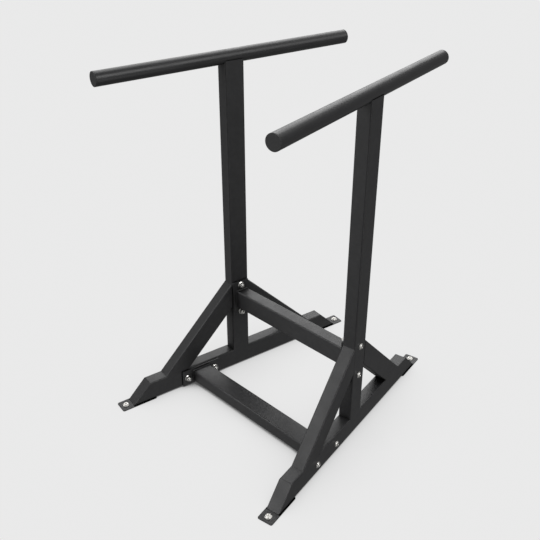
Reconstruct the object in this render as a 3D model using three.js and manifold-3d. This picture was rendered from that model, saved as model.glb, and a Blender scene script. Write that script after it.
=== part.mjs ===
// Splayed parallel bars (a free-standing dip station) in welded and bolted box section.
//
// Two side frames stand on the floor. Each one is a floor rail, a post, two 45 degree braces and a
// round hand bar on top of the post. The frames are toed in towards the rear, so the gap between the
// hand bars narrows from front to rear. Two cross tubes with bolted flanges hold the frames apart.
//
// Frame: millimetres, +Z up, floor at z = 0, origin midway between the two posts.
// The front is -Y, the wide end of the bars. Left is -X.
import * as THREE from 'three';
import { mergeVertices } from 'three/addons/utils/BufferGeometryUtils.js';
import Module from 'manifold-3d';

const wasm = await Module();
wasm.setup();

// ---- Driving dimensions ----

const postSpacing = 600;
const splayAngle = THREE.MathUtils.degToRad(10);
const gap = 0.3;

const sectionDepth = 75;
const sectionWidth = 50;
const sectionWall = 3;
const sectionRadius = 5;

const railLength = 985;
const endPlateThickness = 3;
const braceFoot = 347.7;

const barAxisHeight = 1267;
const barLength = 990;
const barRadius = 24.15;
const barWall = 3;
const copeDrop = 9;

const footThickness = 4;
const footWidth = 57;
const footEnd = 540;
const footCorner = 6;
const padStart = 397;
const tongueWidth = 34;
const tongueStart = 415;
const anchorY = 517;

const flangeThickness = 6;
const flangeWidth = 70;
const flangeCorner = 3;
const upperFlangeLength = 156;
const lowerFlangeLength = 168;
const upperBoltSpacing = 122;
const lowerBoltSpacing = 125;
const upperCrossHeight = 322.5;
const lowerCrossHeight = 39.5;
const lowerCrossY = -199;

const boltRadius = 6;
const boltTip = 1;
const boltHole = 6.5;
const boltLength = 75;
const headRadius = 10.5;
const headHeight = 6.6;
const headStep = 0.4; // how far the dome starts above the collar
const domeShoulderRadius = 9;
const domeShoulderHeight = 4.75;
const domeFlatRadius = 5.9;
const collarRadius = 12;
const collarHeight = 1.8;
const socketAcrossFlats = 8;
const socketDepth = 4;
const nutAcrossFlats = 18;
const nutHeight = 12;
const nutCollarRadius = 13;
const nutCollarHeight = 1.5;
const nutConeRadius = 8;
const nutConeHeight = 4.5;
const sleeveRadius = 10;

const plugLip = 3;
const plugSkirt = 16;
const plugSkirtRadius = 20.7;
const plugWall = 3;
const plugEdge = 1;

const cornerSegments = 3;
const barSegments = 36;
const fastenerSegments = 12;

// ---- Worked-out places ----

const halfSpacing = postSpacing / 2;
const railBottom = footThickness + gap;
const railMiddle = railBottom + sectionDepth / 2;
const railTop = railBottom + sectionDepth;
const railTip = railLength / 2;
const tabStart = railTip + gap;
const postFoot = railTop + gap;
const flangeFace = sectionWidth / 2 + gap;
const crossEnd = flangeFace + flangeThickness + gap;
const alongCut = Math.SQRT2; // a 45 degree cut makes every thickness this much longer along the tube

// ---- Materials ----

const powderCoat = { color: 0x2e2e30, roughness: 0.55, metalness: 0.2 };
const barCoat = { color: 0x37373a, roughness: 0.38, metalness: 0.3 };
const zinc = { color: 0xc9c9c6, roughness: 0.3, metalness: 1.0 };
const rubber = { color: 0x0c0c0c, roughness: 0.9, metalness: 0.0 };
const plastic = { color: 0x2a2a2b, roughness: 0.6, metalness: 0.0 };

// ---- Solids: joining, cutting and plain shapes ----

function toSolid(geometry) {
  const bare = geometry.clone();
  bare.deleteAttribute('normal');
  bare.deleteAttribute('uv');
  const merged = mergeVertices(bare, 1e-4);
  return new wasm.Manifold(new wasm.Mesh({
    numProp: 3,
    vertProperties: merged.getAttribute('position').array,
    triVerts: new Uint32Array(merged.index.array),
  }));
}

function toGeometry(solid) {
  const mesh = solid.getMesh();
  const geometry = new THREE.BufferGeometry();
  geometry.setAttribute('position', new THREE.BufferAttribute(mesh.vertProperties, 3));
  geometry.setIndex(new THREE.BufferAttribute(mesh.triVerts, 1));
  geometry.computeVertexNormals();
  return geometry;
}

function cut(geometry, tools) {
  let solid = toSolid(geometry);
  for (const tool of tools) {
    solid = solid.subtract(toSolid(tool));
  }
  return toGeometry(solid);
}

function join(first, second) {
  return toGeometry(toSolid(first).add(toSolid(second)));
}

// A rectangle with round corners, centred on the origin.
function roundedRectangle(width, height, radius) {
  const x = width / 2 - radius;
  const y = height / 2 - radius;
  const shape = new THREE.Shape();
  shape.absarc(x, y, radius, 0, Math.PI / 2);
  shape.absarc(-x, y, radius, Math.PI / 2, Math.PI);
  shape.absarc(-x, -y, radius, Math.PI, 1.5 * Math.PI);
  shape.absarc(x, -y, radius, 1.5 * Math.PI, 2 * Math.PI);
  return shape;
}

function boxSection(width, depth) {
  const shape = roundedRectangle(width, depth, sectionRadius);
  const inside = [width - 2 * sectionWall, depth - 2 * sectionWall, sectionRadius - sectionWall];
  shape.holes.push(roundedRectangle(...inside));
  return shape;
}

function extrude(shape, length) {
  const options = { depth: length, bevelEnabled: false, curveSegments: cornerSegments };
  return new THREE.ExtrudeGeometry(shape, options);
}

// An extrusion along Z whose two ends lean: each end moves along Z by its slope times y.
function mitred(shape, length, startSlope, endSlope) {
  const geometry = extrude(shape, length);
  const position = geometry.getAttribute('position');
  for (let i = 0; i < position.count; i += 1) {
    const atStart = position.getZ(i) < length / 2;
    const slope = atStart ? startSlope : endSlope;
    position.setZ(i, position.getZ(i) + slope * position.getY(i));
  }
  return geometry;
}

// A solid turned about the Y axis from [radius, height] pairs listed from bottom to top.
function turned(profile, segments) {
  return new THREE.LatheGeometry(profile.map(([r, y]) => new THREE.Vector2(r, y)), segments);
}

// A ring about the Y axis, standing on y = 0.
function ring(outer, inner, height, segments) {
  return turned([[inner, 0], [outer, 0], [outer, height], [inner, height], [inner, 0]], segments);
}

// A drill for bolt holes: a cylinder along X through one point of the frame's plane.
function drillAcross(y, z) {
  const drill = new THREE.CylinderGeometry(boltHole, boltHole, 2 * sectionWidth, fastenerSegments);
  return drill.rotateZ(Math.PI / 2).translate(0, y, z);
}

// ---- Bolt positions in a side frame: [name, y, z] ----

const lowerFlangeY = (lowerCrossY + crossEnd * Math.sin(splayAngle)) / Math.cos(splayAngle);
const upperBolts = [
  ['upper_top', 0, upperCrossHeight + upperBoltSpacing / 2],
  ['upper_bottom', 0, upperCrossHeight - upperBoltSpacing / 2],
];
const lowerBolts = [
  ['lower_front', lowerFlangeY - lowerBoltSpacing / 2, lowerCrossHeight],
  ['lower_rear', lowerFlangeY + lowerBoltSpacing / 2, lowerCrossHeight],
];

// ---- Side frame pieces. Front and rear pieces are built at the rear (+Y) end ----

// The floor rail's ends are cut at 45 degrees, longest at the floor.
function baseRail() {
  const endPlate = (endPlateThickness + gap) * alongCut;
  const halfLength = railTip - sectionDepth / 2 - endPlate;
  const tube = mitred(boxSection(sectionWidth, sectionDepth), 2 * halfLength, 1, -1);
  tube.rotateX(Math.PI / 2).translate(0, halfLength, railMiddle);
  return cut(tube, lowerBolts.map(([, y, z]) => drillAcross(y, z)));
}

// The plate that closes a rail's cut end.
function railEndPlate() {
  const shape = roundedRectangle(sectionWidth, sectionDepth, sectionRadius);
  const plate = mitred(shape, endPlateThickness * alongCut, 1, 1);
  return plate.rotateX(Math.PI / 2).translate(0, railTip - sectionDepth / 2, railMiddle);
}

// The steel foot plate: an anchor tab past the rail's tip, on a tongue welded under the rail.
function footPlate() {
  const half = footWidth / 2;
  const tongue = tongueWidth / 2;
  const shape = new THREE.Shape();
  shape.moveTo(-tongue, tongueStart);
  shape.lineTo(tongue, tongueStart);
  shape.lineTo(tongue, tabStart);
  shape.lineTo(half, tabStart);
  shape.absarc(half - footCorner, footEnd - footCorner, footCorner, 0, Math.PI / 2);
  shape.absarc(footCorner - half, footEnd - footCorner, footCorner, Math.PI / 2, Math.PI);
  shape.lineTo(-half, tabStart);
  shape.lineTo(-tongue, tabStart);
  const hole = new THREE.Path();
  hole.absarc(0, anchorY, boltHole, 0, 2 * Math.PI, true);
  shape.holes.push(hole);
  return new THREE.ExtrudeGeometry(shape, {
    depth: footThickness,
    bevelEnabled: false,
    curveSegments: fastenerSegments,
  });
}

// The rubber pad under the rail: a U that fits round the foot plate's tongue.
function footPad() {
  const half = footWidth / 2;
  const slot = tongueWidth / 2 + gap;
  const slotStart = tongueStart - gap;
  const shape = new THREE.Shape();
  shape.absarc(footCorner - half, padStart + footCorner, footCorner, Math.PI, 1.5 * Math.PI);
  shape.absarc(half - footCorner, padStart + footCorner, footCorner, 1.5 * Math.PI, 2 * Math.PI);
  shape.lineTo(half, railTip);
  shape.lineTo(slot, railTip);
  shape.lineTo(slot, slotStart);
  shape.lineTo(-slot, slotStart);
  shape.lineTo(-slot, railTip);
  shape.lineTo(-half, railTip);
  return extrude(shape, footThickness);
}

// The post's top is coped to saddle the hand bar.
function post() {
  const height = barAxisHeight - copeDrop - postFoot;
  const tube = extrude(boxSection(sectionWidth, sectionDepth), height).translate(0, 0, postFoot);
  const copeRadius = barRadius + gap;
  const cope = new THREE.CylinderGeometry(copeRadius, copeRadius, 2 * sectionDepth, barSegments);
  cope.translate(0, 0, barAxisHeight);
  return cut(tube, [cope, ...upperBolts.map(([, y, z]) => drillAcross(y, z))]);
}

// A 45 degree brace from the top of the rail up to the face of the post.
function brace() {
  const postFace = sectionDepth / 2 + gap;
  const middle = braceFoot - sectionDepth * alongCut / 2;
  const length = (middle - postFace) * alongCut;
  const tube = mitred(boxSection(sectionWidth, sectionDepth), length, -1, 1);
  return tube.rotateX(Math.PI / 4).translate(0, middle, postFoot);
}

function handBar() {
  const length = barLength - 2 * (plugLip + gap);
  return ring(barRadius, barRadius - barWall, length, barSegments)
    .translate(0, -length / 2, barAxisHeight);
}

// A push-in plug: a lip as wide as the bar, and a hollow skirt inside it.
function barPlug() {
  const inner = plugSkirtRadius - plugWall;
  const profile = [
    [0, 0],
    [inner, 0],
    [inner, -plugSkirt],
    [plugSkirtRadius, -plugSkirt],
    [plugSkirtRadius, 0],
    [barRadius, 0],
    [barRadius, plugLip - plugEdge],
    [barRadius - plugEdge, plugLip],
    [0, plugLip],
  ];
  return turned(profile, barSegments).translate(0, barLength / 2 - plugLip, barAxisHeight);
}

// ---- Cross members ----

// A flange plate that lies flat against the inner face of a side frame, width along Y.
function flange(width, height, holeY, holeZ) {
  const plate = extrude(roundedRectangle(height, width, flangeCorner), flangeThickness);
  plate.rotateY(Math.PI / 2).translate(-flangeThickness / 2, 0, 0);
  return cut(plate, [drillAcross(holeY, holeZ), drillAcross(-holeY, -holeZ)]);
}

// A tube along X between the two frames, its ends cut to the splay of the flanges.
function crossTube(depthY, heightZ, y, z) {
  const slope = Math.tan(splayAngle);
  const start = -halfSpacing + crossEnd / Math.cos(splayAngle) + y * slope;
  const tube = mitred(boxSection(heightZ, depthY), -2 * start, slope, -slope);
  return tube.rotateY(Math.PI / 2).translate(start, y, z);
}

// ---- Fasteners, standing along Y with the head up ----

// A button-head screw with a collar under its head and a hexagon socket. y = 0 is under the head.
function buttonScrew(length) {
  const profile = [
    [0, -length],
    [boltRadius - boltTip, -length],
    [boltRadius, boltTip - length],
    [boltRadius, 0],
    [collarRadius, 0],
    [collarRadius, collarHeight],
    [headRadius, collarHeight + headStep],
    [domeShoulderRadius, domeShoulderHeight],
    [domeFlatRadius, headHeight],
    [0, headHeight],
  ];
  const socketRadius = socketAcrossFlats / Math.sqrt(3);
  const socket = new THREE.CylinderGeometry(socketRadius, socketRadius, 2 * socketDepth, 6);
  socket.translate(0, headHeight, 0);
  return cut(turned(profile, fastenerSegments), [socket]);
}

// A hexagon nut on its own collar. y = 0 is its seat.
function flangeNut() {
  const radius = nutAcrossFlats / Math.sqrt(3);
  const hexagon = new THREE.CylinderGeometry(radius, radius, nutHeight, 6);
  hexagon.translate(0, nutHeight / 2, 0);
  const profile = [
    [0, 0],
    [nutCollarRadius, 0],
    [nutCollarRadius, nutCollarHeight],
    [nutConeRadius, nutConeHeight],
    [0, nutConeHeight],
  ];
  const throughNut = 3 * nutHeight;
  const bore = new THREE.CylinderGeometry(boltHole, boltHole, throughNut, fastenerSegments);
  return cut(join(hexagon, turned(profile, fastenerSegments)), [bore]);
}

// The sleeve that stops a through bolt from crushing the tube.
function crushSleeve() {
  const length = sectionWidth - 2 * (sectionWall + gap);
  return ring(sleeveRadius, boltHole, length, fastenerSegments).translate(0, -length / 2, 0);
}

// ---- Assembly ----

function piece(name, geometry, finish) {
  const mesh = new THREE.Mesh(geometry, new THREE.MeshStandardMaterial(finish));
  mesh.name = name;
  return mesh;
}

// The pieces at one end of a side frame. They are built at the rear and turned round for the front.
function frameEnd(side, end) {
  const group = new THREE.Group();
  group.rotation.z = end === 'rear' ? 0 : Math.PI;
  group.add(piece(`${side}_${end}_end_plate`, railEndPlate(), powderCoat));
  group.add(piece(`${side}_${end}_foot_plate`, footPlate(), powderCoat));
  group.add(piece(`${side}_${end}_foot_pad`, footPad(), rubber));
  group.add(piece(`${side}_${end}_brace`, brace(), powderCoat));
  group.add(piece(`${side}_${end}_bar_plug`, barPlug(), plastic));
  const anchor = piece(`${side}_${end}_anchor_screw`, buttonScrew(footThickness - gap), zinc);
  anchor.geometry.rotateX(Math.PI / 2);
  anchor.position.set(0, anchorY, footThickness + gap);
  group.add(anchor);
  return group;
}

// One bolted point: screw from the outside, sleeve in the tube, nut on the flange.
function boltedPoint(side, name, y, z) {
  const group = new THREE.Group();
  group.position.set(0, y, z);
  group.rotation.z = side === 'left' ? 0 : Math.PI;
  const screw = buttonScrew(boltLength).rotateZ(Math.PI / 2);
  screw.translate(-sectionWidth / 2 - gap, 0, 0);
  const nut = flangeNut().rotateZ(-Math.PI / 2).translate(crossEnd, 0, 0);
  const sleeve = crushSleeve().rotateZ(Math.PI / 2);
  group.add(piece(`${side}_${name}_bolt`, screw, zinc));
  group.add(piece(`${side}_${name}_nut`, nut, zinc));
  group.add(piece(`${side}_${name}_sleeve`, sleeve, zinc));
  return group;
}

function sideFrame(side) {
  const inward = side === 'left' ? 1 : -1;
  const group = new THREE.Group();
  group.position.x = -inward * halfSpacing;
  group.rotation.z = -inward * splayAngle;
  group.add(piece(`${side}_base_rail`, baseRail(), powderCoat));
  group.add(piece(`${side}_post`, post(), powderCoat));
  group.add(piece(`${side}_hand_bar`, handBar(), barCoat));
  group.add(frameEnd(side, 'front'));
  group.add(frameEnd(side, 'rear'));
  for (const [name, y, z] of [...upperBolts, ...lowerBolts]) {
    group.add(boltedPoint(side, name, y, z));
  }
  const flangeMiddle = inward * (flangeFace + flangeThickness / 2);
  const upper = flange(flangeWidth, upperFlangeLength, 0, upperBoltSpacing / 2);
  const lower = flange(lowerFlangeLength, flangeWidth, lowerBoltSpacing / 2, 0);
  const upperPlate = piece(`${side}_upper_flange`, upper, powderCoat);
  const lowerPlate = piece(`${side}_lower_flange`, lower, powderCoat);
  upperPlate.position.set(flangeMiddle, 0, upperCrossHeight);
  lowerPlate.position.set(flangeMiddle, lowerFlangeY, lowerCrossHeight);
  group.add(upperPlate, lowerPlate);
  return group;
}

const upperCross = crossTube(sectionWidth, sectionDepth, 0, upperCrossHeight);
const lowerCross = crossTube(sectionDepth, sectionWidth, lowerCrossY, lowerCrossHeight);

const parallelBars = new THREE.Group();
parallelBars.add(sideFrame('left'));
parallelBars.add(sideFrame('right'));
parallelBars.add(piece('upper_cross_tube', upperCross, powderCoat));
parallelBars.add(piece('lower_cross_tube', lowerCross, powderCoat));

export default parallelBars;
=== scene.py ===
# The looks of the splayed parallel bars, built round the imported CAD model.
#
# Every CAD node gets one finished piece, made from rings of points in mesh code, and the cross tubes
# get their weld beads. Places and sizes are measured from the CAD nodes along the axes of the side
# frame that they belong to. Metres, +Z up.
import math
import random

import bmesh
import bpy
from mathutils import Matrix, Vector


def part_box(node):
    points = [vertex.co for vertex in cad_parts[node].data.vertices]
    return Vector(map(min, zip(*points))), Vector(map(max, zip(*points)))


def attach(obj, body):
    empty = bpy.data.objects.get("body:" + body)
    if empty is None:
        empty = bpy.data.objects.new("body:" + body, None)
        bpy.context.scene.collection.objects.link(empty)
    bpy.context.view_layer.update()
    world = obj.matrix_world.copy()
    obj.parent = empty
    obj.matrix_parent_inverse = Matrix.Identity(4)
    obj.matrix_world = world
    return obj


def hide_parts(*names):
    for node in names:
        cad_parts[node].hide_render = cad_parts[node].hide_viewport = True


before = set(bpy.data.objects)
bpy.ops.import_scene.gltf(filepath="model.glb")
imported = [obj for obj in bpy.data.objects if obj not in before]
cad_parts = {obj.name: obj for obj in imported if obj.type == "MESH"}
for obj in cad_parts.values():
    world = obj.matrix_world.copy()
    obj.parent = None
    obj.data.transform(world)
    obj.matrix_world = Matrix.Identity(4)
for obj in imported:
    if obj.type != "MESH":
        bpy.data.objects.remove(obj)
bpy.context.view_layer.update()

MM = 0.001

# ---- Driving sizes that the CAD model's boxes don't give ----

SPLAY = math.radians(10)
RIGHT_ANGLE = math.pi / 2

# The clearance between parts that fit together.
GAP = 0.3 * MM

# The side frames, with the way along their X axis to the middle of the object.
INWARD = {"left": 1, "right": -1}

# The bolted points of each flange.
BOLTS = {
    "upper_flange": ("upper_top", "upper_bottom"),
    "lower_flange": ("lower_front", "lower_rear"),
}

# Box sections. The saddle ends a little under the hand bar's middle, and a brace's top end stays off
# the post's rounded edges by the seam.
WALL = 3 * MM
CORNER = 5 * MM
SADDLE_END = 9 * MM
SEAM = 4.2 * MM
END_PLATE_ROUNDING = 1.4 * MM

# Flanges, and the bolt holes.
PLATE_CORNER = 3 * MM
PLATE_ROUNDING = 0.6 * MM
HOLE = 6.5 * MM
DRILL_LENGTH = 200 * MM

# Feet, with places along a side frame's Y axis from the post.
FOOT_CORNER = 6 * MM
FOOT_ROUNDING = 0.7 * MM
TONGUE_WIDTH = 34 * MM
TONGUE_START = 415 * MM
PAD_START = 397 * MM
ANCHOR_Y = 517 * MM

# Hand bars and their plugs.
BAR_WALL = 3 * MM
BAR_ROUNDING = 0.5 * MM
PLUG_SKIRT = 20.7 * MM
PLUG_WALL = 3 * MM
PLUG_LIP_ROUNDING = 0.3 * MM
PLUG_FACE_ROUNDING = 1.1 * MM

# Bolts and anchor screws. Widths are radii, apart from the socket's, which is across its flats. The
# thread's root is flat over a share of its pitch.
BOLT = 6 * MM
BOLT_CHAMFER = 1.2 * MM
ANCHOR_CHAMFER = 1 * MM
THREAD_PITCH = 1.75 * MM
THREAD_DEPTH = 0.85 * MM
THREAD_LENGTH = 10 * MM
THREAD_FLAT = 0.2
HEAD = 10.5 * MM
HEAD_FLAT = 5.2 * MM
HEAD_HEIGHT = 6.6 * MM
COLLAR = 12 * MM
COLLAR_HEIGHT = 1.8 * MM
COLLAR_ROUNDING = 0.3 * MM
SOCKET = 8 * MM
SOCKET_DEPTH = 4 * MM
SOCKET_CONE = 3.2 * MM
SOCKET_CONE_TIP = 0.5 * MM
SOCKET_CONE_DEPTH = 1.2 * MM

# Nuts and sleeves. Widths are radii, apart from a nut's, which is across its flats. A hexagon's corner
# radius is a share of its width.
NUT = 18 * MM
NUT_HEIGHT = 12 * MM
NUT_FACE = 8.5 * MM
NUT_CORNER_SLOPE = math.tan(math.radians(30))
NUT_BORE = 6.1 * MM
NUT_BORE_CHAMFER = 0.8 * MM
NUT_COLLAR = 13 * MM
NUT_COLLAR_HEIGHT = 1.4 * MM
NUT_COLLAR_ROUNDING = 0.4 * MM
NUT_COLLAR_SLOPE = 0.6
SLEEVE = 10 * MM
HEXAGON_CORNER = 0.57

# Weld beads. Bulge and unevenness are shares of the leg, and the swell is a share of the bulge.
WELD_LEG = 3 * MM
WELD_ROOT = 0.2 * MM
WELD_RIPPLE = 2.6 * MM
WELD_BULGE = 0.16
WELD_SWELL = 0.3
WELD_UNEVEN = 0.04
WELD_RANDOM = 0.02

# Steps in round shapes, and the longest steps along a saddle and a weld.
CORNER_STEPS = 8
ROUNDING_STEPS = 6
EDGE_STEPS = 4
BAR_STEPS = 96
FASTENER_STEPS = 72
DOME_STEPS = 12
THREAD_STEPS = 8
WELD_STEPS = 6
SADDLE_STEP = 2 * MM
WELD_STEP = 1 * MM

# How far an edge turns before it is rounded, marked as a convex edge, or shaded as a sharp one.
ROUNDED_TURN = math.radians(60)
CONVEX_EDGE_TURN = math.radians(9)
SHARP_TURN = math.radians(38)

# ---- Where things are ----


def side_place(side):
    """The place of a side frame: its origin on the floor under the post, +X across, +Y to the rear."""
    low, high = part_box(f"{side}_post")
    middle = (low + high) / 2
    turn = Matrix.Rotation(-INWARD[side] * SPLAY, 4, "Z")
    return Matrix.Translation((middle.x, middle.y, 0)) @ turn


PLACES = {side: side_place(side) for side in INWARD}


def measure(node, place):
    """Lowest and highest corner of a CAD node along the axes of a place."""
    back = place.inverted()
    points = [back @ vertex.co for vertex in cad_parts[node].data.vertices]
    low = Vector([min(point[axis] for point in points) for axis in range(3)])
    high = Vector([max(point[axis] for point in points) for axis in range(3)])
    return low, high


def end_place(side, end):
    """A side frame's place, turned so that +Y points to the named end."""
    turn = 0 if end == "rear" else math.pi
    return PLACES[side] @ Matrix.Rotation(turn, 4, "Z")


def bolt_axis(side, name):
    """A bolted point of a side frame, with +Z along the bolt, towards its head."""
    low, high = measure(f"{side}_{name}_bolt", PLACES[side])
    middle = (low + high) / 2
    seat = low.x + HEAD_HEIGHT if side == "left" else high.x - HEAD_HEIGHT
    turn = Matrix.Rotation(-INWARD[side] * RIGHT_ANGLE, 4, "Y")
    return Matrix.Translation((seat, middle.y, middle.z)) @ turn


# ---- Materials ----

# How near another surface has to be before painted shade darkens the coat's colour.
PAINTED_SHADE_REACH = 45 * MM


def new_material(name):
    material = bpy.data.materials.new(name)
    material.use_nodes = True
    tree = material.node_tree
    return material, tree, tree.nodes["Principled BSDF"]


def object_point(tree):
    return tree.nodes.new("ShaderNodeTexCoord").outputs["Object"]


def noise(tree, point, scale, detail):
    """A cloudy pattern, mostly from 0.3 to 0.7. The scale is in features for each metre."""
    made = tree.nodes.new("ShaderNodeTexNoise")
    made.inputs["Scale"].default_value = scale
    made.inputs["Detail"].default_value = detail
    tree.links.new(point, made.inputs["Vector"])
    return made.outputs["Fac"]


def vary(tree, factor, low, high, start=0.3, stop=0.7):
    """Maps a pattern's values from start to stop onto the range from low to high."""
    made = tree.nodes.new("ShaderNodeMapRange")
    made.inputs["From Min"].default_value = start
    made.inputs["From Max"].default_value = stop
    made.inputs["To Min"].default_value = low
    made.inputs["To Max"].default_value = high
    tree.links.new(factor, made.inputs["Value"])
    return made.outputs["Result"]


def mix_colour(tree, factor, first, second):
    """The first colour where the factor is 0, the second where it is 1. Each is a tuple or a socket."""
    made = tree.nodes.new("ShaderNodeMix")
    made.data_type = "RGBA"
    tree.links.new(factor, made.inputs["Factor"])
    for socket, colour in ((made.inputs["A"], first), (made.inputs["B"], second)):
        if isinstance(colour, tuple):
            socket.default_value = (*colour, 1)
        else:
            tree.links.new(colour, socket)
    return made.outputs["Result"]


def convex_edge(tree):
    """1 on rounded and sharp outer edges, 0 on flat faces."""
    made = tree.nodes.new("ShaderNodeAttribute")
    made.attribute_name = "convex_edge"
    return made.outputs["Fac"]


def calculate(tree, operation, first, second):
    """One step of arithmetic on two values. Each is a number or a socket."""
    made = tree.nodes.new("ShaderNodeMath")
    made.operation = operation
    for socket, value in zip(made.inputs, (first, second)):
        if isinstance(value, float):
            socket.default_value = value
        else:
            tree.links.new(value, socket)
    return made.outputs["Value"]


def openness(tree, reach):
    """1 where nothing stands within reach of the surface, falling in corners and gaps."""
    made = tree.nodes.new("ShaderNodeAmbientOcclusion")
    made.inputs["Distance"].default_value = reach
    return made.outputs["AO"]


def add_bump(tree, shader, layers):
    """Stacks (pattern, height in metres, strength) layers of relief on the shader."""
    normal = None
    for pattern, height, strength in layers:
        made = tree.nodes.new("ShaderNodeBump")
        made.inputs["Distance"].default_value = height
        made.inputs["Strength"].default_value = strength
        tree.links.new(pattern, made.inputs["Height"])
        if normal is not None:
            tree.links.new(normal, made.inputs["Normal"])
        normal = made.outputs["Normal"]
    tree.links.new(normal, shader.inputs["Normal"])


def painted(name, dark, light, edge, roughness, grain_height, peel_height):
    """Black powder coat: a pebbled skin, uneven in tone and brighter on edges, with painted shade
    darkening its colour in corners.
    """
    material, tree, shader = new_material(name)
    point = object_point(tree)
    grain = noise(tree, point, 900, 3)
    peel = noise(tree, point, 160, 1)
    mottle = noise(tree, point, 14, 4)
    # A lighter colour on convex edges, varied by a noise pattern.
    on_edge = calculate(tree, "MULTIPLY", convex_edge(tree), vary(tree, noise(tree, point, 60, 4), 0.4, 1.0))
    # Painted shade: the coat's colour is mixed towards black where other surfaces stand near, in corners
    # and gaps.
    clear_of_painted_shade = vary(tree, openness(tree, PAINTED_SHADE_REACH), 0.0, 1.0, start=0.5, stop=0.85)
    body = mix_colour(tree, mottle, dark, light)
    coat = mix_colour(tree, on_edge, body, edge)
    tree.links.new(mix_colour(tree, clear_of_painted_shade, (0.0, 0.0, 0.0), coat), shader.inputs["Base Color"])
    tree.links.new(vary(tree, mottle, roughness - 0.04, roughness + 0.05), shader.inputs["Roughness"])
    add_bump(tree, shader, [(peel, peel_height, 0.3), (grain, grain_height, 0.5)])
    return material


def zinc_plate(name, smooth, rough):
    """Zinc plate: metal with fine marks and small differences in shine."""
    material, tree, shader = new_material(name)
    point = object_point(tree)
    cloud = noise(tree, point, 220, 4)
    marks = noise(tree, point, 1500, 2)
    colour = mix_colour(tree, cloud, (0.74, 0.73, 0.70), (0.92, 0.91, 0.88))
    tree.links.new(colour, shader.inputs["Base Color"])
    shader.inputs["Metallic"].default_value = 1.0
    tree.links.new(vary(tree, cloud, smooth, rough), shader.inputs["Roughness"])
    add_bump(tree, shader, [(marks, 0.05 * MM, 0.25)])
    return material


def rubber():
    """Dull black rubber with a moulded grain, its colour set darker than the rubber's own as painted
    shade.
    """
    material, tree, shader = new_material("rubber")
    point = object_point(tree)
    grain = noise(tree, point, 1200, 3)
    cloud = noise(tree, point, 90, 3)
    # Painted shade: the colour is darker than real rubber so that the pad's strip under the rail reads
    # black.
    tree.links.new(mix_colour(tree, cloud, (0.002, 0.002, 0.002), (0.005, 0.005, 0.005)),
                   shader.inputs["Base Color"])
    tree.links.new(vary(tree, cloud, 0.8, 0.95), shader.inputs["Roughness"])
    shader.inputs["Specular IOR Level"].default_value = 0.1
    add_bump(tree, shader, [(grain, 0.15 * MM, 0.5)])
    return material


def plastic():
    """Matte moulded plastic with a spark-eroded texture."""
    material, tree, shader = new_material("plug_plastic")
    point = object_point(tree)
    grain = noise(tree, point, 1400, 2)
    cloud = noise(tree, point, 50, 3)
    tree.links.new(mix_colour(tree, cloud, (0.027, 0.027, 0.028), (0.035, 0.035, 0.036)),
                   shader.inputs["Base Color"])
    tree.links.new(vary(tree, cloud, 0.5, 0.62), shader.inputs["Roughness"])
    shader.inputs["Specular IOR Level"].default_value = 0.4
    add_bump(tree, shader, [(grain, 0.08 * MM, 0.4)])
    return material


FINISHES = {
    "frame_coat": painted(
        "frame_coat",
        dark=(0.011, 0.011, 0.012),
        light=(0.015, 0.015, 0.016),
        edge=(0.024, 0.024, 0.025),
        roughness=0.45,
        grain_height=0.12 * MM,
        peel_height=0.2 * MM,
    ),
    "bar_coat": painted(
        "bar_coat",
        dark=(0.019, 0.019, 0.020),
        light=(0.023, 0.023, 0.024),
        edge=(0.036, 0.036, 0.037),
        roughness=0.36,
        grain_height=0.02 * MM,
        peel_height=0.04 * MM,
    ),
    "zinc": zinc_plate("zinc", smooth=0.19, rough=0.29),
    "dull_zinc": zinc_plate("dull_zinc", smooth=0.48, rough=0.56),
    "rubber": rubber(),
    "plug": plastic(),
}

# ---- Meshes from rings of points ----


def shell(rings, wrap):
    """A closed mesh through rings of equal length, wrapped round to the first ring or capped."""
    built = bmesh.new()
    rows = [[built.verts.new(point) for point in ring] for ring in rings]
    pairs = list(zip(rows, rows[1:]))
    if wrap:
        pairs.append((rows[-1], rows[0]))
    else:
        built.faces.new(rows[0])
        built.faces.new(rows[-1])
    count = len(rows[0])
    for first, second in pairs:
        for i in range(count):
            after = (i + 1) % count
            built.faces.new((first[i], first[after], second[after], second[i]))
    bmesh.ops.recalc_face_normals(built, faces=built.faces)
    return built


def to_mesh(built, name):
    mesh = bpy.data.meshes.new(name)
    built.to_mesh(mesh)
    built.free()
    return mesh


def drilled(built, places):
    """The mesh with a bolt hole bored right through it along the Z axis of each place."""
    temporary = [bpy.data.objects.new("blank", to_mesh(built, "blank"))]
    for place in places:
        drill = bmesh.new()
        bmesh.ops.create_cone(drill, cap_ends=True, segments=FASTENER_STEPS, radius1=HOLE,
                              radius2=HOLE, depth=DRILL_LENGTH, matrix=place)
        tool = bpy.data.objects.new("drill", to_mesh(drill, "drill"))
        temporary.append(tool)
        modifier = temporary[0].modifiers.new("hole", "BOOLEAN")
        modifier.object = tool
        modifier.solver = "EXACT"
    for item in temporary:
        bpy.context.scene.collection.objects.link(item)
    depsgraph = bpy.context.evaluated_depsgraph_get()
    result = bmesh.new()
    result.from_mesh(temporary[0].evaluated_get(depsgraph).to_mesh())
    for item in temporary:
        mesh = item.data
        bpy.data.objects.remove(item)
        bpy.data.meshes.remove(mesh)
    return result


def round_edges(built, size):
    edges = [edge for edge in built.edges if edge.calc_face_angle(0) > ROUNDED_TURN]
    bmesh.ops.bevel(built, geom=edges, offset=size, offset_type="OFFSET", segments=EDGE_STEPS,
                    profile=0.5, affect="EDGES", clamp_overlap=True)
    return built


def mark_convex_edges(built):
    """Stores 1 on the vertices of convex edges, whether rounded or sharp, and 0 elsewhere."""
    layer = built.verts.layers.float.new("convex_edge")
    for edge in built.edges:
        if edge.is_convex and edge.calc_face_angle(0) > CONVEX_EDGE_TURN:
            for vertex in edge.verts:
                vertex[layer] = 1.0


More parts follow.
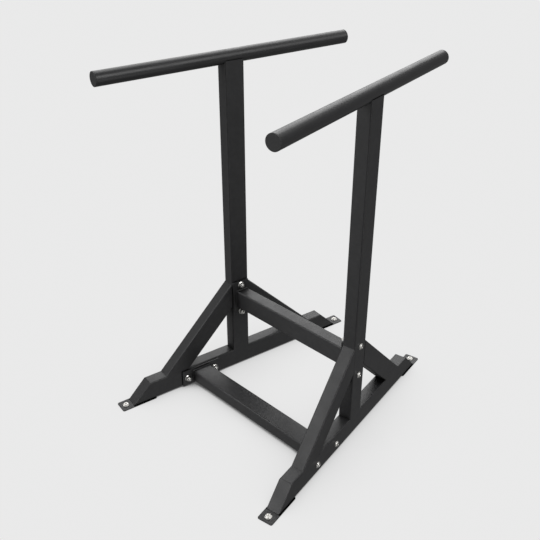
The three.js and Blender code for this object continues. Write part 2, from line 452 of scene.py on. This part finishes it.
def finish_mesh(built, name):
    """A mesh that is shaded smooth but for its sharp edges."""
    mark_convex_edges(built)
    for face in built.faces:
        face.smooth = True
    mesh = to_mesh(built, name)
    mesh.set_sharp_from_angle(angle=SHARP_TURN)
    return mesh


def add_piece(name, built, place, slot, *nodes, finish=None):
    """Puts a finished piece on the frame, in its slot's finish or another, for the nodes it stands for."""
    built.transform(place)
    if place.determinant() < 0:
        bmesh.ops.reverse_faces(built, faces=built.faces)
    piece = bpy.data.objects.new(name, finish_mesh(built, name))
    bpy.context.scene.collection.objects.link(piece)
    piece.data.materials.append(FINISHES[finish or slot])
    normals = piece.modifiers.new("even_shading", "WEIGHTED_NORMAL")
    normals.keep_sharp = True
    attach(piece, "root")
    if nodes:
        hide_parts(*nodes)


def stand_for(node, built, place, slot, finish=None):
    """Puts a finished piece on the frame in place of one CAD node."""
    add_piece(f"{node}_visual", built, place, slot, node, finish=finish)


# ---- Outlines: lists of (point, outward normal) in a plane ----


def rounded_rectangle(width, height, radius, longest=None):
    """Anticlockwise, centred on the origin. Straight stretches over the longest step are divided."""
    outline = []
    for index, (right, up) in enumerate(((1, 1), (-1, 1), (-1, -1), (1, -1))):
        centre = Vector((right * (width / 2 - radius), up * (height / 2 - radius)))
        for step in range(CORNER_STEPS + 1):
            angle = RIGHT_ANGLE * (index + step / CORNER_STEPS)
            normal = Vector((math.cos(angle), math.sin(angle)))
            outline.append((centre + radius * normal, normal))
    return divided(outline, longest) if longest else outline


def divided(outline, longest):
    """The outline with more points on straight stretches, no further apart than the longest step."""
    made = []
    for (point, normal), (after, _) in zip(outline, outline[1:] + outline[:1]):
        pieces = max(1, math.ceil((after - point).length / longest))
        made += [(point.lerp(after, i / pieces), normal) for i in range(pieces)]
    return made


def corner_drop(across, width):
    """How far a section's rounded corner falls below its flat face, at a place across its width."""
    past = max(0.0, abs(across) - (width / 2 - CORNER))
    return CORNER - math.sqrt(max(0.0, CORNER**2 - past**2))


# ---- Steel sections ----


def hollow(width, depth, axes, start, end, longest=None):
    """A box section between two end surfaces. Each gives the place along the tube for a section point."""
    outer = rounded_rectangle(width, depth, CORNER, longest)
    inner = rounded_rectangle(width - 2 * WALL, depth - 2 * WALL, CORNER - WALL, longest)
    rings = []
    for outline, surface in ((outer, start), (outer, end), (inner, end), (inner, start)):
        rings.append([axes @ Vector((*point, surface(point))) for point, _ in outline])
    return shell(rings, wrap=True)


def axes_of(across, up, along, origin):
    """A matrix that takes (section x, section y, place along the tube) into a side frame."""
    made = Matrix((across, up, along)).transposed().to_4x4()
    made.translation = origin
    return made


def axes_across(middle):
    """A matrix for a section that lies across X, round a middle point."""
    origin = Vector((0, middle.y, middle.z))
    return axes_of(Vector((0, 1, 0)), Vector((0, 0, 1)), Vector((1, 0, 0)), origin)


def rounded_end(points, sides, face, size):
    """Rings that turn the corner from a side surface over to an end face, whatever the angle."""
    rings = []
    for step in range(ROUNDING_STEPS + 1):
        turn = step / ROUNDING_STEPS
        ring = []
        for point, side in zip(points, sides):
            centre = point - size * (side + face)
            ring.append(centre + size * (1 + side.dot(face)) * side.slerp(face, turn))
        rings.append(ring)
    return rings


def base_rail(side):
    """The rail on the floor, cut at 45 degrees at both ends."""
    node = f"{side}_base_rail"
    low, high = measure(node, PLACES[side])
    width, depth = high.x - low.x, high.z - low.z
    half = high.y - depth / 2
    middle = Vector((0, 0, (low.z + high.z) / 2))
    axes = axes_of(Vector((1, 0, 0)), Vector((0, 0, 1)), Vector((0, 1, 0)), middle)
    tube = hollow(width, depth, axes, lambda p: p.y - half, lambda p: half - p.y)
    holes = [bolt_axis(side, name) for name in BOLTS["lower_flange"]]
    stand_for(node, drilled(tube, holes), PLACES[side], "frame_coat")


def end_plate(side, end):
    """The plate that closes a rail's sloped end. Its outer edge is ground round."""
    node = f"{side}_{end}_end_plate"
    place = end_place(side, end)
    rail_end = measure(f"{side}_base_rail", place)[1].y
    low, high = measure(node, place)
    width, depth = high.x - low.x, high.z - low.z
    middle = (low.z + high.z) / 2
    outline = rounded_rectangle(width, depth, CORNER)
    inner = [Vector((p.x, rail_end - depth / 2 - p.y, middle + p.y)) for p, _ in outline]
    outer = [Vector((p.x, high.y - depth / 2 - p.y, middle + p.y)) for p, _ in outline]
    sides = [Vector((normal.x, 0, normal.y)) for _, normal in outline]
    face = Vector((0, 1, 1)).normalized()
    rings = [inner] + rounded_end(outer, sides, face, END_PLATE_ROUNDING)
    stand_for(node, shell(rings, wrap=False), place, "frame_coat")


def post(side):
    """The post, saddled over the rail's rounded edges below and round the hand bar above."""
    node = f"{side}_post"
    low, high = measure(node, PLACES[side])
    bar_low, bar_high = measure(f"{side}_hand_bar", PLACES[side])
    rail_top = measure(f"{side}_base_rail", PLACES[side])[1].z
    width, depth = high.x - low.x, high.y - low.y
    bar_height = (bar_low.z + bar_high.z) / 2
    bar_radius = (bar_high.z - bar_low.z) / 2

    def foot(point):
        return rail_top - corner_drop(point.x, width)

    def saddle(point):
        return bar_height - max(SADDLE_END, math.sqrt(max(0.0, bar_radius**2 - point.x**2)))

    tube = hollow(width, depth, Matrix.Identity(4), foot, saddle, SADDLE_STEP)
    holes = [bolt_axis(side, name) for name in BOLTS["upper_flange"]]
    stand_for(node, drilled(tube, holes), PLACES[side], "frame_coat")


def brace(side, end):
    """A 45 degree brace, its foot round the rail's rounded edges and its top clear of the post's."""
    node = f"{side}_{end}_brace"
    place = end_place(side, end)
    low, high = measure(node, place)
    rail_top = measure(f"{side}_base_rail", place)[1].z
    post_low, post_high = measure(f"{side}_post", place)
    width, depth = high.x - low.x, post_high.y - post_low.y
    slant = math.sqrt(0.5)
    foot_y = high.y + (low.z - rail_top) - depth * slant
    up, along = Vector((0, slant, slant)), Vector((0, -slant, slant))
    axes = axes_of(Vector((1, 0, 0)), up, along, Vector((0, foot_y, rail_top)))

    def foot(point):
        return -corner_drop(point.x, width) / slant - point.y

    def top(point):
        reach = max(0.0, corner_drop(point.x, width) - SEAM)
        return (foot_y - post_high.y + reach) / slant + point.y

    stand_for(node, hollow(width, depth, axes, foot, top), place, "frame_coat")


def cross_tube(node, flange_name):
    """A cross tube along X, cut to the splay of the flanges at both ends and welded to them."""
    low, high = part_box(node)
    middle = (low + high) / 2
    depth, height = high.y - low.y, high.z - low.z
    axes = axes_across(middle)
    surfaces = [flange_surface(side, flange_name, middle.y) for side in INWARD]
    stand_for(node, hollow(depth, height, axes, *surfaces), Matrix.Identity(4), "frame_coat")
    for side, surface in zip(INWARD, surfaces):
        outline = rounded_rectangle(depth, height, CORNER, WELD_STEP)
        path = [axes @ Vector((*point, surface(point))) for point, _ in outline]
        outward = [axes.to_3x3() @ Vector((*normal, 0)) for _, normal in outline]
        along = Vector((INWARD[side], 0, 0))
        weld(f"{side}_{flange_name}_weld", path, outward, along)


def flange_surface(side, flange_name, tube_y):
    """The inner face of a flange as a place along X for a point of the cross tube's section."""
    low, high = measure(f"{side}_{flange_name}", PLACES[side])
    inner = high.x if side == "left" else low.x
    origin = PLACES[side] @ Vector((inner, 0, 0))
    normal = PLACES[side].to_3x3() @ Vector((1, 0, 0))
    return lambda point: origin.x - normal.y * (tube_y + point.x - origin.y) / normal.x


# ---- Plates and pads ----


def prism(outline, low, high):
    """A flat piece with an outline, between two heights."""
    return shell([[Vector((*point, z)) for point in outline] for z in (low, high)], wrap=False)


def flange(side, name):
    """The plate at a cross tube's end, which the bolts clamp to the side frame."""
    node = f"{side}_{name}"
    low, high = measure(node, PLACES[side])
    middle = (low + high) / 2
    axes = axes_across(middle)
    outline = [p for p, _ in rounded_rectangle(high.y - low.y, high.z - low.z, PLATE_CORNER)]
    plate = prism(outline, low.x, high.x)
    plate.transform(axes)
    holes = [bolt_axis(side, bolt_name) for bolt_name in BOLTS[name]]
    plate = drilled(plate, holes)
    stand_for(node, round_edges(plate, PLATE_ROUNDING), PLACES[side], "frame_coat")


def arc(centre_x, centre_y, start):
    """A quarter of a foot corner, anticlockwise from a number of quarter turns."""
    points = []
    for step in range(CORNER_STEPS + 1):
        angle = RIGHT_ANGLE * (start + step / CORNER_STEPS)
        turned = Vector((math.cos(angle), math.sin(angle)))
        points.append(Vector((centre_x, centre_y)) + FOOT_CORNER * turned)
    return points


def foot_plate(side, end):
    """The anchor tab past the rail's tip, on the tongue that is welded under the rail."""
    node = f"{side}_{end}_foot_plate"
    place = end_place(side, end)
    low, high = measure(node, place)
    tab_start = measure(f"{side}_{end}_end_plate", place)[1].y + GAP
    half, tongue = high.x, TONGUE_WIDTH / 2
    outline = [Vector((-tongue, TONGUE_START)), Vector((tongue, TONGUE_START))]
    outline += [Vector((tongue, tab_start)), Vector((half, tab_start))]
    outline += arc(half - FOOT_CORNER, high.y - FOOT_CORNER, 0)
    outline += arc(FOOT_CORNER - half, high.y - FOOT_CORNER, 1)
    outline += [Vector((-half, tab_start)), Vector((-tongue, tab_start))]
    hole = Matrix.Translation((0, ANCHOR_Y, high.z))
    plate = drilled(prism(outline, low.z, high.z), [hole])
    stand_for(node, round_edges(plate, FOOT_ROUNDING), place, "frame_coat")


def foot_pad(side, end):
    """The rubber pad under the rail, a U round the tongue."""
    node = f"{side}_{end}_foot_pad"
    place = end_place(side, end)
    low, high = measure(node, place)
    half, slot = high.x, TONGUE_WIDTH / 2 + GAP
    outline = arc(FOOT_CORNER - half, PAD_START + FOOT_CORNER, 2)
    outline += arc(half - FOOT_CORNER, PAD_START + FOOT_CORNER, 3)
    outline += [Vector((half, high.y)), Vector((slot, high.y)), Vector((slot, TONGUE_START - GAP))]
    outline += [Vector((-slot, TONGUE_START - GAP)), Vector((-slot, high.y)), Vector((-half, high.y))]
    pad = round_edges(prism(outline, low.z, high.z), FOOT_ROUNDING)
    stand_for(node, pad, place, "rubber")


# ---- Turned pieces: rings of (radius, height), which may differ round the ring ----


def turned(rings, wrap):
    """A mesh about the Z axis. Each ring is a list of (radius, height), one for each step round."""
    rows = []
    for ring in rings:
        row = []
        for i, (radius, height) in enumerate(ring):
            angle = 2 * math.pi * i / len(ring)
            row.append(Vector((radius * math.cos(angle), radius * math.sin(angle), height)))
        rows.append(row)
    return shell(rows, wrap)


def circles(profile, steps):
    """A round ring for each (radius, height) of a profile."""
    return [[(radius, height)] * steps for radius, height in profile]


def hexagon(across_flats, steps):
    """The radius of a hexagon at each step round, its corners taken off slightly."""
    radii = []
    for i in range(steps):
        from_flat = (2 * math.pi * i / steps) % (math.pi / 3) - math.pi / 6
        radii.append(min(across_flats / 2 / math.cos(from_flat), HEXAGON_CORNER * across_flats))
    return radii


def quarter(radius, height, size, start):
    """Profile points of a quarter round of a size, from a number of quarter turns, anticlockwise."""
    points = []
    for step in range(ROUNDING_STEPS + 1):
        angle = RIGHT_ANGLE * (start + step / ROUNDING_STEPS)
        points.append((radius + size * math.cos(angle), height + size * math.sin(angle)))
    return points


def thread(tip):
    """Rings of a bolt's threaded end, from its tip at a height up to the plain shank."""
    rings = []
    rows = round(THREAD_STEPS * THREAD_LENGTH / THREAD_PITCH)
    for row in range(rows + 1):
        rise = THREAD_LENGTH * row / rows
        ring = []
        for i in range(FASTENER_STEPS):
            turns = rise / THREAD_PITCH - i / FASTENER_STEPS
            groove = abs(2 * (turns % 1) - 1)
            radius = BOLT - THREAD_DEPTH * min(1.0, groove / (1 - THREAD_FLAT))
            ring.append((min(radius, BOLT - BOLT_CHAMFER + rise), tip + rise))
        rings.append(ring)
    return rings


def screw_head():
    """Rings of a button head on its collar, from the seat up and down into the hexagon socket."""
    soft = COLLAR_ROUNDING
    base = COLLAR_HEIGHT + soft
    profile = [(BOLT, 0)]
    profile += quarter(COLLAR - soft, soft, soft, 3)
    profile += quarter(COLLAR - soft, COLLAR_HEIGHT - soft, soft, 0)
    profile.append((HEAD + soft, COLLAR_HEIGHT))
    for step in range(DOME_STEPS + 1):
        angle = RIGHT_ANGLE * step / DOME_STEPS
        radius = HEAD_FLAT + (HEAD - HEAD_FLAT) * math.cos(angle)
        profile.append((radius, base + (HEAD_HEIGHT - base) * math.sin(angle)))
    rings = circles(profile, FASTENER_STEPS)
    socket = hexagon(SOCKET, FASTENER_STEPS)
    floor = HEAD_HEIGHT - SOCKET_DEPTH
    rings.append([(radius + soft, HEAD_HEIGHT) for radius in socket])
    rings.append([(radius, HEAD_HEIGHT - soft) for radius in socket])
    rings.append([(radius, floor) for radius in socket])
    cone = [(SOCKET_CONE, floor), (SOCKET_CONE_TIP, floor - SOCKET_CONE_DEPTH)]
    return rings + circles(cone, FASTENER_STEPS)


def bolt(side, name):
    """A bolt through the side frame, threaded at its tip."""
    node = f"{side}_{name}_bolt"
    low, high = measure(node, PLACES[side])
    length = high.x - low.x - HEAD_HEIGHT
    rings = thread(-length) + circles([(BOLT, THREAD_LENGTH - length + THREAD_PITCH)], FASTENER_STEPS)
    built = turned(rings + screw_head(), wrap=False)
    stand_for(node, built, PLACES[side] @ bolt_axis(side, name), "zinc")


def anchor_screw(side, end):
    """The screw that holds a foot to the floor, in a duller plate than the bolts."""
    node = f"{side}_{end}_anchor_screw"
    place = end_place(side, end)
    low, high = measure(node, place)
    middle = (low + high) / 2
    seat = high.z - HEAD_HEIGHT
    tip = low.z - seat
    shank = circles([(BOLT - ANCHOR_CHAMFER, tip), (BOLT, tip + ANCHOR_CHAMFER)], FASTENER_STEPS)
    built = turned(shank + screw_head(), wrap=False)
    seated = place @ Matrix.Translation((middle.x, middle.y, seat))
    stand_for(node, built, seated, "zinc", finish="dull_zinc")


def nut(side, name):
    """A hexagon nut with a coned collar, its top corners turned off."""
    node = f"{side}_{name}_nut"
    low, high = measure(node, PLACES[side])
    seat = low.x if side == "left" else high.x
    soft = NUT_COLLAR_ROUNDING
    chamfer = NUT_BORE_CHAMFER
    collar = [(NUT_BORE, 0)]
    collar += quarter(NUT_COLLAR - soft, soft, soft, 3)
    collar += quarter(NUT_COLLAR - soft, NUT_COLLAR_HEIGHT - soft, soft, 0)
    rings = circles(collar, FASTENER_STEPS)
    body = hexagon(NUT, FASTENER_STEPS)
    rings.append([(r, NUT_COLLAR_HEIGHT + NUT_COLLAR_SLOPE * (NUT_COLLAR - r)) for r in body])
    rings.append([(r, NUT_HEIGHT - NUT_CORNER_SLOPE * (r - NUT_FACE)) for r in body])
    bore = [(NUT_FACE, NUT_HEIGHT), (NUT_BORE + chamfer, NUT_HEIGHT), (NUT_BORE, NUT_HEIGHT - chamfer)]
    rings += circles(bore, FASTENER_STEPS)
    middle = bolt_axis(side, name).translation
    turn = Matrix.Rotation(INWARD[side] * RIGHT_ANGLE, 4, "Y")
    place = PLACES[side] @ Matrix.Translation((seat, middle.y, middle.z)) @ turn
    stand_for(node, turned(rings, wrap=True), place, "zinc")


def sleeve(side, name):
    """The tube inside the side frame that a bolt runs through."""
    node = f"{side}_{name}_sleeve"
    low, high = measure(node, PLACES[side])
    profile = [(HOLE, low.x), (SLEEVE, low.x), (SLEEVE, high.x), (HOLE, high.x)]
    middle = bolt_axis(side, name).translation
    turn = Matrix.Rotation(RIGHT_ANGLE, 4, "Y")
    place = PLACES[side] @ Matrix.Translation((0, middle.y, middle.z)) @ turn
    stand_for(node, turned(circles(profile, FASTENER_STEPS), wrap=True), place, "zinc")


def hand_bar(side):
    """The round tube along a side frame's top, its ends broken round."""
    node = f"{side}_hand_bar"
    low, high = measure(node, PLACES[side])
    radius = (high.z - low.z) / 2
    soft = BAR_ROUNDING
    profile = quarter(radius - soft, low.y + soft, soft, 3)
    profile += quarter(radius - soft, high.y - soft, soft, 0)
    profile += [(radius - BAR_WALL, high.y), (radius - BAR_WALL, low.y)]
    turn = Matrix.Rotation(-RIGHT_ANGLE, 4, "X")
    place = PLACES[side] @ Matrix.Translation((0, 0, (low.z + high.z) / 2)) @ turn
    stand_for(node, turned(circles(profile, BAR_STEPS), wrap=True), place, "bar_coat")


def bar_plug(side, end):
    """A push-in plug: a lip as wide as the bar and a hollow skirt inside it."""
    node = f"{side}_{end}_bar_plug"
    place = end_place(side, end)
    low, high = measure(node, place)
    lip = measure(f"{side}_hand_bar", place)[1].y + GAP
    radius = (high.z - low.z) / 2
    inside = PLUG_SKIRT - PLUG_WALL
    rim, edge = PLUG_LIP_ROUNDING, PLUG_FACE_ROUNDING
    profile = [(inside, lip), (inside, low.y), (PLUG_SKIRT, low.y), (PLUG_SKIRT, lip)]
    profile += quarter(radius - rim, lip + rim, rim, 3)
    profile += quarter(radius - edge, high.y - edge, edge, 0)
    turn = Matrix.Rotation(-RIGHT_ANGLE, 4, "X")
    pushed_in = place @ Matrix.Translation((0, 0, (low.z + high.z) / 2)) @ turn
    stand_for(node, turned(circles(profile, BAR_STEPS), wrap=False), pushed_in, "plug")


# ---- Welds ----


def weld(name, path, outward, along):
    """A fillet weld round a closed corner line. One face runs outward from it and the other along."""
    random.seed(name)
    rings = []
    travelled = 0.0
    phase = random.uniform(0, 2 * math.pi)
    for i, (root, out) in enumerate(zip(path, outward)):
        travelled += (root - path[i - 1]).length if i else 0.0
        ripple = math.sin(2 * math.pi * travelled / WELD_RIPPLE + phase)
        size = WELD_LEG * (1 + WELD_UNEVEN * ripple + random.uniform(-WELD_RANDOM, WELD_RANDOM))
        between = (out + along).normalized()
        ring = [root - WELD_ROOT * between]
        for step in range(WELD_STEPS + 1):
            across = step / WELD_STEPS
            bulge = WELD_BULGE * size * math.sin(math.pi * across) * (1 + WELD_SWELL * ripple)
            ring.append(root + size * out.lerp(along, across) + bulge * between)
        rings.append(ring)
    add_piece(name, shell(rings, wrap=True), Matrix.Identity(4), "frame_coat")


# ---- Assembly ----

for side in INWARD:
    base_rail(side)
    post(side)
    hand_bar(side)
    for flange_name in BOLTS:
        flange(side, flange_name)
    for end in ("front", "rear"):
        end_plate(side, end)
        foot_plate(side, end)
        foot_pad(side, end)
        brace(side, end)
        bar_plug(side, end)
        anchor_screw(side, end)
    for bolt_name in (*BOLTS["upper_flange"], *BOLTS["lower_flange"]):
        bolt(side, bolt_name)
        nut(side, bolt_name)
        sleeve(side, bolt_name)
cross_tube("upper_cross_tube", "upper_flange")
cross_tube("lower_cross_tube", "lower_flange")

# ---- Floor, light and camera ----

# Each painted floor shadow is a reach, a falloff and a depth.
PALE = 0.82
CONTACT_SHADOW = (80 * MM, 5.0, 4.0)
WIDE_SHADOW = (300 * MM, 1.4, 0.34)
SHADOW_DARKEST = 0.15
DOME_RADIUS = 40
FLOOR_REACH = 30

# Each softbox has a name, an azimuth and an elevation in degrees, and a strength. Azimuth 0 is in
# front of the object and 90 to its right.
ROOM_LIGHT = 0.18
SOFTBOX_WIDTH = math.radians(34)
SOFTBOXES = [
    ("front_left", -30, 30, 1.15),
    ("front_left_high", -30, 55, 0.34),
    ("front_left_low", -30, -20, 0.28),
    ("right", 90, 30, 0.9),
    ("right_low", 90, -20, 0.26),
    ("right_rear", 120, 28, 0.4),
    ("back_right", 165, 45, 0.2),
    ("back", 210, 30, 0.52),
    ("back_high", 210, 55, 0.5),
    ("back_level", 222, 4, 0.3),
    ("back_left", 240, 30, 0.47),
]

# The lens and the sensor are in millimetres.
LENS = 50
SENSOR = 36
CAMERA_PLACE = (1.594, -1.706, 1.904)
CAMERA_TURN = (math.radians(60), 0, math.radians(45))


def stage_surface(name, built):
    """A pale surface that glows evenly. Only the camera sees it, so it doesn't tint the object."""
    surface = bpy.data.objects.new(name, to_mesh(built, name))
    bpy.context.scene.collection.objects.link(surface)
    material, tree, shader = new_material(name)
    shader.inputs["Base Color"].default_value = (0, 0, 0, 1)
    shader.inputs["Specular IOR Level"].default_value = 0.0
    shader.inputs["Emission Color"].default_value = (1, 1, 1, 1)
    shader.inputs["Emission Strength"].default_value = PALE
    surface.data.materials.append(material)
    surface.visible_glossy = False
    surface.visible_diffuse = False
    surface.visible_shadow = False
    return tree, shader


def studio_backdrop():
    """A dome, and a floor whose glow is darkened by painted shadows under and beside the object."""
    dome = bmesh.new()
    bmesh.ops.create_icosphere(dome, subdivisions=4, radius=DOME_RADIUS)
    stage_surface("dome", dome)
    floor = bmesh.new()
    bmesh.ops.create_grid(floor, x_segments=1, y_segments=1, size=FLOOR_REACH)
    tree, shader = stage_surface("floor", floor)
    glow = PALE
    # Painted shadows: the floor's glow falls where the object covers it, close by and farther out.
    for reach, falloff, depth in (CONTACT_SHADOW, WIDE_SHADOW):
        covered = calculate(tree, "SUBTRACT", 1.0, openness(tree, reach))
        shadow = calculate(tree, "MULTIPLY", calculate(tree, "POWER", covered, falloff), depth)
        lit = calculate(tree, "MAXIMUM", calculate(tree, "SUBTRACT", 1.0, shadow), SHADOW_DARKEST)
        glow = calculate(tree, "MULTIPLY", lit, glow)
    tree.links.new(glow, shader.inputs["Emission Strength"])


def studio_light():
    """A dim room with wide, far softboxes."""
    scene = bpy.context.scene
    world = bpy.data.worlds.new("studio")
    world.use_nodes = True
    background = world.node_tree.nodes["Background"]
    background.inputs["Color"].default_value = (1, 1, 1, 1)
    background.inputs["Strength"].default_value = ROOM_LIGHT
    scene.world = world
    scene.view_settings.view_transform = "Standard"
    for name, azimuth, elevation, strength in SOFTBOXES:
        light = bpy.data.lights.new(name, "SUN")
        light.angle = SOFTBOX_WIDTH
        light.energy = strength
        box = bpy.data.objects.new(name, light)
        turn = math.radians(azimuth)
        rise = math.radians(elevation)
        flat = math.cos(rise)
        back = Vector((math.sin(turn) * flat, -math.cos(turn) * flat, math.sin(rise)))
        box.rotation_mode = "QUATERNION"
        box.rotation_quaternion = (-back).to_track_quat("-Z", "Y")
        scene.collection.objects.link(box)


def main_camera():
    camera = bpy.data.objects.new("camera", bpy.data.cameras.new("camera"))
    camera.data.lens = LENS
    camera.data.sensor_width = SENSOR
    camera.location = CAMERA_PLACE
    camera.rotation_euler = CAMERA_TURN
    bpy.context.scene.collection.objects.link(camera)
    bpy.context.scene.camera = camera


studio_backdrop()
studio_light()
main_camera()
